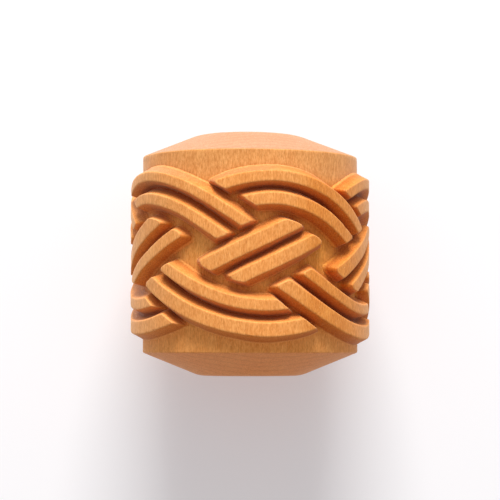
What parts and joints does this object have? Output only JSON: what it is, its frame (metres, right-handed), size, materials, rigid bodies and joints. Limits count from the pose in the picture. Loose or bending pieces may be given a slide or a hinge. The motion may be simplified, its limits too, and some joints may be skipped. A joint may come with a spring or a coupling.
{
  "type": "clay texture roller",
  "caption": "Short hardwood roller with a raised interlaced knot band carved round it, rolled by hand to press the pattern into soft clay.",
  "frame": {"origin": "middle of the lower end face, on the surface the roller stands on", "axes": "+Z along the roller's axis, from the lower end to the upper one; -Y is the front, the side that the picture shows"},
  "size_m": [0.045, 0.045, 0.0454],
  "materials": {
    "oiled_hardwood": "satin, oiled, fine grain along the axis"
  },
  "bodies": {
    "root": {"carved_roller": "oiled_hardwood"}
  },
  "joints": []
}
